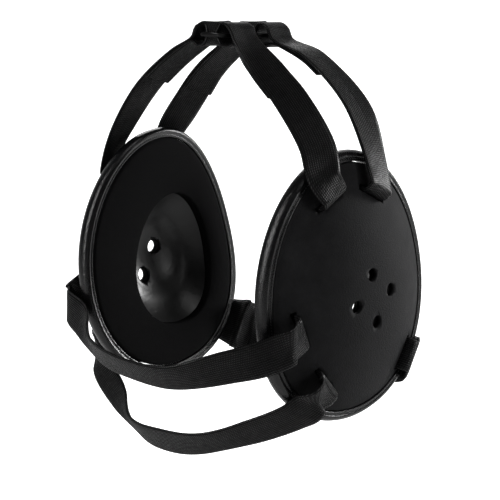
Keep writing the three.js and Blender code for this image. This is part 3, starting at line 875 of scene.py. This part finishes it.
def tail_rows(rows):
    """The fastened tail: it lies under the leg, just clear of it, down from the loop."""
    centres = catmull([row[0] for row in rows], STEPS_PER_ROW)[::-1]
    leans = catmull([row[1] for row in rows], STEPS_PER_ROW)[::-1]
    marks = [share * TAIL_LENGTH for share in (0, 1 / 3, 2 / 3, 1)]
    result, run = [], 0.0
    for i in range(1, len(centres)):
        if not marks:
            break
        ahead = centres[i] - centres[i - 1]
        if run >= marks[0]:
            marks.pop(0)
            inward = unit(np.cross(ahead, leans[i]))
            inward = -inward if inward[2] > 0 else inward
            result.append((centres[i] + inward * (WEBBING_THICKNESS + TAIL_GAP), leans[i]))
        run += np.linalg.norm(ahead)
    return result


def leg_rows(cup, leg):
    side = cup["side"]
    rows = slot_rows(cup, leg["slot"])
    for forward, up, out, yaw, tip in leg["rim"]:
        rows.append((on_cup(cup, forward, up, out), width_direction(side, yaw, tip)))
    for out, back, rise, yaw, tip in leg["rows"]:
        centre = np.array([side * out * HALF_SPREAD, back * CUP_WIDTH, rise * REACH])
        rows.append((centre, width_direction(side, yaw, tip)))
    rows = [*rounded_fold(rows[:2], rows[2][0]), *rows[2:]]
    loop_out, loop_back, loop_yaw = leg["loop"]
    loop = []
    for out, up in LOOP_SECTION:
        x = side * (loop_out * HALF_SPREAD + out * LOOP_HEIGHT)
        centre = np.array([x, loop_back * WEBBING_WIDTH, LINK_HEIGHT + up * LOOP_HEIGHT])
        loop.append((centre, width_direction(side, loop_yaw, 0)))
    climbing = [*rows, loop[0]]
    return [*climbing, *loop[1:], *tail_rows(climbing)], len(climbing)


LEG_BANDS = {}
for name, leg in LEGS.items():
    cup = CUPS[1] if name.startswith("left") else CUPS[0]
    rows, climb_count = leg_rows(cup, leg)
    LEG_BANDS[name] = band(f"{name}_webbing", rows, name), climb_count
print("legs", list(LEG_BANDS))

# %% [markdown]
# The two straps behind the head and the one round the chin run from cup to cup. The chin strap first goes
# round the front of each rim, and is wider between them. Their rows are out, back, rise and lean:
# shares of half the spread, the cup's width and half its height, and degrees.

# %% Head and chin straps
UPPER_BACK_ROWS = (
    (-1.15, 0.43, -0.324, 4), (-1.02, 0.5, -0.409, -4), (-0.855, 0.62, -0.474, 14),
    (-0.486, 0.715, -0.592, 38), (-0.035, 0.723, -0.595, 38), (0.385, 0.657, -0.556, 28),
    (0.755, 0.535, -0.428, -12), (1.03, 0.468, -0.37, 0), (1.12, 0.38, -0.348, 4),
)
LOWER_BACK_ROWS = (
    (-1.15, 0.262, -0.752, 28), (-0.99, 0.29, -0.89, 30), (-0.703, 0.368, -1.046, 34),
    (-0.387, 0.45, -1.169, 42), (-0.016, 0.449, -1.234, 34), (0.385, 0.4, -1.234, 36),
    (0.68, 0.345, -1.063, -4), (0.975, 0.314, -0.825, -8), (1.09, 0.24, -0.736, 14),
)
CHIN_ROWS = (
    (-0.73, -0.52, -0.752, 8), (-0.57, -0.61, -0.883, 18), (-0.3, -0.67, -0.981, 24), (0, -0.69, -1.03, 28),
    (0.34, -0.69, -0.98, 25), (0.6, -0.66, -0.88, 16), (0.76, -0.59, -0.77, 8),
)
CHIN_WRAP = ((0.83, -0.63, 1.05), (0.93, -0.675, 0.35), (0.925, -0.685, -0.55), (0.87, -0.68, -1.45))
CHIN_STEPS = 10
CHIN_WIDENS = 0.22
CHIN_FULLNESS = 0.7


def hoop_rows(rows):
    for across, back, rise, lean in rows:
        centre = np.array([across * HALF_SPREAD, back * CUP_WIDTH, rise * CUP_HEIGHT / 2 - CUP_DROP])
        outward = unit(np.array([centre[0], centre[1], 0.0]))
        along = outward * math.sin(math.radians(lean)) + np.array([0, 0, math.cos(math.radians(lean))])
        yield centre, along


def strap_rows(slot, rows, wrap=()):
    middle = list(hoop_rows(rows))
    ends = []
    for cup, nearest in zip(CUPS, (middle[0][0], middle[-1][0])):
        start = slot_rows(cup, slot)
        wrapped = [(on_cup(cup, *place), start[0][1]) for place in wrap]
        fold = rounded_fold(start, wrapped[0][0] if wrapped else nearest)
        ends.append([(centre, -along if along[2] < 0 else along) for centre, along in [*fold, *wrapped]])
    return [*ends[0], *middle, *ends[1][::-1]]


def chin_width(share):
    widening = math.sin(math.pi * min(max((share - CHIN_WIDENS) / (1 - 2 * CHIN_WIDENS), 0), 1))
    return WEBBING_WIDTH + (CHIN_WIDTH - WEBBING_WIDTH) * max(widening, 0) ** CHIN_FULLNESS


band("upper_back_webbing", strap_rows("upper_back", UPPER_BACK_ROWS), "upper_back_strap")
band("lower_back_webbing", strap_rows("lower_back", LOWER_BACK_ROWS), "lower_back_strap")
chin_band = strap_rows("chin", CHIN_ROWS, CHIN_WRAP)
band("chin_webbing", chin_band, "chin_strap", steps_per_row=CHIN_STEPS, width=chin_width)

# %% [markdown]
# A link is a rectangular ring of coated wire that two loops hang on. A torus has no straight sides, so a
# round wire section is swept round a rectangle with rounded corners.

# %% Crown links
CORNER_STEPS = 10
WIRE_SIDES = 16


def link_grid(right_loop, left_loop):
    eye = LOOP_EYE * LOOP_HEIGHT
    right = -(right_loop[0] * HALF_SPREAD + eye)
    left = left_loop[0] * HALF_SPREAD + eye
    side = WEBBING_WIDTH / 2 + LINK_CLEARANCE + LINK_WIRE / 2
    corner = 1.5 * LINK_WIRE
    centre = np.array([(right + left) / 2, right_loop[1] * WEBBING_WIDTH, LINK_HEIGHT])
    half = (left - right) / 2
    radius = LINK_WIRE / 2
    lift = np.array([0, 0, radius])
    rows = []
    for a, b, start in ((1, 1, 0), (-1, 1, 90), (-1, -1, 180), (1, -1, 270)):
        bend = centre + np.array([a * (half - corner), b * (side - corner), 0])
        for turn in np.linspace(0, 90, CORNER_STEPS):
            angle = math.radians(start + turn)
            ray = np.array([math.cos(angle), math.sin(angle), 0])
            wire = [ray * (corner + radius * math.cos(t)) + lift * math.sin(t) for t in ring(WIRE_SIDES)]
            rows.append([bend + point for point in wire])
    return rows


for pair in ("back", "front"):
    grid = link_grid(LEGS[f"right_{pair}_leg"]["loop"], LEGS[f"left_{pair}_leg"]["loop"])
    link = grid_piece(f"{pair}_link", grid, f"{pair}_crown_link")
    paint(link, "wire")
    print(link.name, len(link.data.polygons), "faces")

# %% [markdown]
# Threads show as rows of small raised stitches. They could be a bump pattern, but real ones also catch the
# light at the edge. Geometry Nodes lay stitches along a path at an even pitch, turned along it, and the tree
# ends in real geometry.

# %% Stitch tree
STITCH_PITCH = 1.7
STITCH_LENGTH = 1.15
STITCH_THICKNESS = 0.42


def make_stitch_tree(material):
    tree = bpy.data.node_groups.new("stitches_along", "GeometryNodeTree")
    tree.interface.new_socket(name="Geometry", in_out="INPUT", socket_type="NodeSocketGeometry")
    for label in ("Pitch", "Length", "Thickness"):
        tree.interface.new_socket(name=label, in_out="INPUT", socket_type="NodeSocketFloat")
    tree.interface.new_socket(name="Geometry", in_out="OUTPUT", socket_type="NodeSocketGeometry")
    given, result = tree.nodes.new("NodeGroupInput"), tree.nodes.new("NodeGroupOutput")
    resample = tree.nodes.new("GeometryNodeResampleCurve")
    resample.mode = "LENGTH"
    on_points = tree.nodes.new("GeometryNodeInstanceOnPoints")
    stitch = tree.nodes.new("GeometryNodeMeshUVSphere")
    stitch.inputs["Segments"].default_value = 8
    stitch.inputs["Rings"].default_value = 5
    stitch.inputs["Radius"].default_value = 0.5
    size = tree.nodes.new("ShaderNodeCombineXYZ")
    tangent = tree.nodes.new("GeometryNodeInputTangent")
    turn = tree.nodes.new("FunctionNodeAlignRotationToVector")
    turn.axis = "Z"
    realize = tree.nodes.new("GeometryNodeRealizeInstances")
    finish_node = tree.nodes.new("GeometryNodeSetMaterial")
    finish_node.inputs["Material"].default_value = material
    links = tree.links
    links.new(given.outputs["Geometry"], resample.inputs["Curve"])
    links.new(given.outputs["Pitch"], resample.inputs["Length"])
    links.new(resample.outputs["Curve"], on_points.inputs["Points"])
    links.new(stitch.outputs["Mesh"], on_points.inputs["Instance"])
    links.new(given.outputs["Thickness"], size.inputs["X"])
    links.new(given.outputs["Thickness"], size.inputs["Y"])
    links.new(given.outputs["Length"], size.inputs["Z"])
    links.new(size.outputs["Vector"], on_points.inputs["Scale"])
    links.new(tangent.outputs["Tangent"], turn.inputs["Vector"])
    links.new(turn.outputs["Rotation"], on_points.inputs["Rotation"])
    links.new(on_points.outputs["Instances"], realize.inputs["Geometry"])
    links.new(realize.outputs["Geometry"], finish_node.inputs["Geometry"])
    links.new(finish_node.outputs["Geometry"], result.inputs["Geometry"])
    return tree


STITCH_TREE = make_stitch_tree(FINISHES["thread"])
print("stitch tree has", len(STITCH_TREE.nodes), "nodes")

# %% [markdown]
# Each tail is sewn through its leg with short rows of stitches across the strap: two at its neck and two at
# its end. The paths come from the leg's own sections, so the rows lie on its outer face.

# %% Stitches
LEG_STITCH_BACKS = (6, 8.5, TAIL_LENGTH - 6, TAIL_LENGTH - 3)
STITCH_MARGIN = 1.8
ROW_POINTS = 12


def stitched(name, paths):
    """Stitches along the paths, each a list of points in millimetres, as one plain mesh."""
    curve = bpy.data.curves.new(name, "CURVE")
    curve.dimensions = "3D"
    for path in paths:
        spline = curve.splines.new("POLY")
        spline.points.add(len(path) - 1)
        for point, place in zip(spline.points, path):
            point.co = (*(np.asarray(place) * MM), 1)
    source = bpy.data.objects.new(f"{name}_path", curve)
    bpy.context.collection.objects.link(source)
    modifier = source.modifiers.new("stitches", "NODES")
    modifier.node_group = STITCH_TREE
    sizes = {"Pitch": STITCH_PITCH, "Length": STITCH_LENGTH, "Thickness": STITCH_THICKNESS}
    for item in STITCH_TREE.interface.items_tree:
        if item.in_out == "INPUT" and item.name in sizes:
            modifier[item.identifier] = sizes[item.name] * MM
    evaluated = source.evaluated_get(bpy.context.evaluated_depsgraph_get())
    mesh = bpy.data.meshes.new_from_object(evaluated)
    piece = bpy.data.objects.new(name, mesh)
    bpy.context.collection.objects.link(piece)
    bpy.data.objects.remove(source)
    bpy.data.curves.remove(curve)
    piece.data.polygons.foreach_set("use_smooth", [True] * len(piece.data.polygons))
    dress(piece, None)
    print(name, len(mesh.polygons), "faces")
    return piece


def rows_across(along_band, climb_count):
    """Lines across a leg's outer face, each so many millimetres back from its loop."""
    neck = (climb_count - 1) * STEPS_PER_ROW
    neck_run = along_band[neck][3]
    reach = WEBBING_WIDTH / 2 - STITCH_MARGIN
    for back in LEG_STITCH_BACKS:
        i = min(range(neck), key=lambda k: abs(neck_run - back - along_band[k][3]))
        centre, along, normal, _ = along_band[i]
        outward = normal if normal[2] > 0 else -normal
        face = centre + outward * (WEBBING_THICKNESS / 2)
        yield [face + along * across for across in np.linspace(-reach, reach, ROW_POINTS)]


paths = []
for along_band, climb_count in LEG_BANDS.values():
    paths.extend(rows_across(along_band, climb_count))
stitched("leg_stitches", paths)

# %% [markdown]
# Two lines of stitches hold the binding on each cup, one on the hem's outside and one on the head's side.

# %% Binding seams
SEAM_SIDES = 300
SEAM_DEPTH = 0.76
SEAM_OUTS = (0.525, -0.5)
for cup in CUPS:
    angle = np.append(ring(SEAM_SIDES), 0)
    seams = []
    for out in SEAM_OUTS:
        forward, up = egg_point(cup, RIM_EGG, angle, SEAM_DEPTH * BINDING_DEPTH)
        seams.append(cup_point(cup, forward, up, out * RIM_THICKNESS))
    stitched(f"{cup['name']}_binding_seams", seams)

# %% [markdown]
# The photograph shows the guard on plain white, yet its blacks stay deep, so little light comes from the
# surroundings. A pale floor curves up into a backdrop. It looks white to the camera through the Light Path
# node, and gives the guard only a faint glow.

# %% Floor and backdrop
FLOOR = -0.36
PAPER_GLOW = 0.06
PAPER_SEEN = 0.95
SWEEP_REACH = 3.0
SWEEP_STEPS = 10
SWEEP_AWAY = (0.68, -0.73, 0.0)
SWEEP_PROFILE = (
    (-1.4, FLOOR), (0.9, FLOOR), (1.2, FLOOR + 0.05), (1.42, FLOOR + 0.3), (1.5, FLOOR + 0.7), (1.5, 2.6),
)


def make_sweep():
    """A floor that curves up behind the object, square to the camera's view."""
    away = unit(np.array(SWEEP_AWAY))
    across = np.array([-away[1], away[0], 0.0]) * SWEEP_REACH
    vertices = []
    for distance, height in catmull(SWEEP_PROFILE, SWEEP_STEPS):
        middle = away * distance + np.array([0, 0, height])
        vertices.extend([(middle - across).tolist(), (middle + across).tolist()])
    faces = [(i, i + 1, i + 3, i + 2) for i in range(0, len(vertices) - 2, 2)]
    mesh = bpy.data.meshes.new("studio_sweep")
    mesh.from_pydata(vertices, [], faces)
    mesh.polygons.foreach_set("use_smooth", [True] * len(mesh.polygons))
    sweep = bpy.data.objects.new("studio_sweep", mesh)
    bpy.context.collection.objects.link(sweep)
    paper = bpy.data.materials.new("white_paper")
    paper.use_nodes = True
    shader = paper.node_tree.nodes["Principled BSDF"]
    shader.inputs["Base Color"].default_value = (0.93, 0.93, 0.93, 1)
    shader.inputs["Roughness"].default_value = 0.9
    shader.inputs["Emission Color"].default_value = (1, 1, 1, 1)
    seen = paper.node_tree.nodes.new("ShaderNodeLightPath").outputs["Is Camera Ray"]
    glow = math_node(paper.node_tree, "MULTIPLY_ADD", seen, PAPER_SEEN, PAPER_GLOW)
    paper.node_tree.links.new(glow, shader.inputs["Emission Strength"])
    mesh.materials.append(paper)


make_sweep()
print("floor at", FLOOR, "m")

# %% [markdown]
# Black things are shown by what they reflect, so the lights are placed for their shine. One in front lights
# the liner's bowl and the straps' folds, one at the side the near binding and cover, a tall narrow one at the
# left draws the line down both bindings, and two weak ones lift the top and the far side.

# %% Lights
MIDDLE = (0.0, 0.0, -0.1)
ROOM_SEEN = 0.9
ROOM_GLOW = 0.05
LIGHTS = {
    "front": {"place": (-0.5, -1.22, 0.16), "size": (0.3, 0.35), "power": 15},
    "side": {"place": (-1.25, -0.36, 0.05), "size": (0.2, 0.4), "power": 4},
    "left": {"place": (0.35, 1.2, 0.3), "size": (0.12, 0.9), "power": 10},
    "top": {"place": (-0.6, 0.1, 1.0), "size": (0.6, 0.6), "power": 4},
    "back": {"place": (0.85, -0.7, 0.5), "size": (0.5, 0.4), "power": 3},
}
for name, values in LIGHTS.items():
    light = bpy.data.lights.new(name, "AREA")
    light.shape = "RECTANGLE"
    light.size, light.size_y = values["size"]
    light.energy = values["power"]
    lamp = bpy.data.objects.new(name, light)
    bpy.context.collection.objects.link(lamp)
    lamp.location = values["place"]
    aim = Vector(MIDDLE) - Vector(values["place"])
    lamp.rotation_euler = aim.to_track_quat("-Z", "Y").to_euler()

world = bpy.data.worlds.new("studio")
bpy.context.scene.world = world
bpy.context.scene.view_settings.view_transform = "Standard"
world.use_nodes = True
background = world.node_tree.nodes["Background"]
background.inputs["Color"].default_value = (1, 1, 1, 1)
seen = world.node_tree.nodes.new("ShaderNodeLightPath").outputs["Is Camera Ray"]
strength = math_node(world.node_tree, "MULTIPLY_ADD", seen, ROOM_SEEN, ROOM_GLOW)
world.node_tree.links.new(strength, background.inputs["Strength"])
print("lights", list(LIGHTS))

# %% [markdown]
# The camera stands where the photograph's did, behind the wearer's right shoulder and a little above the
# cups. It is 1 m from a point between them, and its angles were fitted to the outlines of both cups. An
# azimuth of 0 would look along +Y.

# %% Camera
CAMERA_AIM = (0.0, -0.007, -0.119)
CAMERA_DISTANCE = 1.0
CAMERA_AZIMUTH = 223.43
CAMERA_ELEVATION = 9.357
CAMERA_ROLL = 1.177
CAMERA_LENS = 120.9
CAMERA_SENSOR = 36
CAMERA_SHIFT = (0.0037, 0.0038)
camera_data = bpy.data.cameras.new("camera")
camera_data.lens = CAMERA_LENS
camera_data.sensor_width = CAMERA_SENSOR
camera_data.shift_x, camera_data.shift_y = CAMERA_SHIFT
camera = bpy.data.objects.new("camera", camera_data)
bpy.context.collection.objects.link(camera)
heading = Matrix.Rotation(math.radians(CAMERA_AZIMUTH), 4, "Z")
pitch = Matrix.Rotation(math.radians(90 - CAMERA_ELEVATION), 4, "X")
roll = Matrix.Rotation(math.radians(CAMERA_ROLL), 4, "Z")
step_back = Matrix.Translation((0, 0, CAMERA_DISTANCE))
camera.matrix_world = Matrix.Translation(CAMERA_AIM) @ heading @ pitch @ roll @ step_back
bpy.context.scene.camera = camera
print("camera", [round(v, 4) for v in camera.matrix_world.translation])
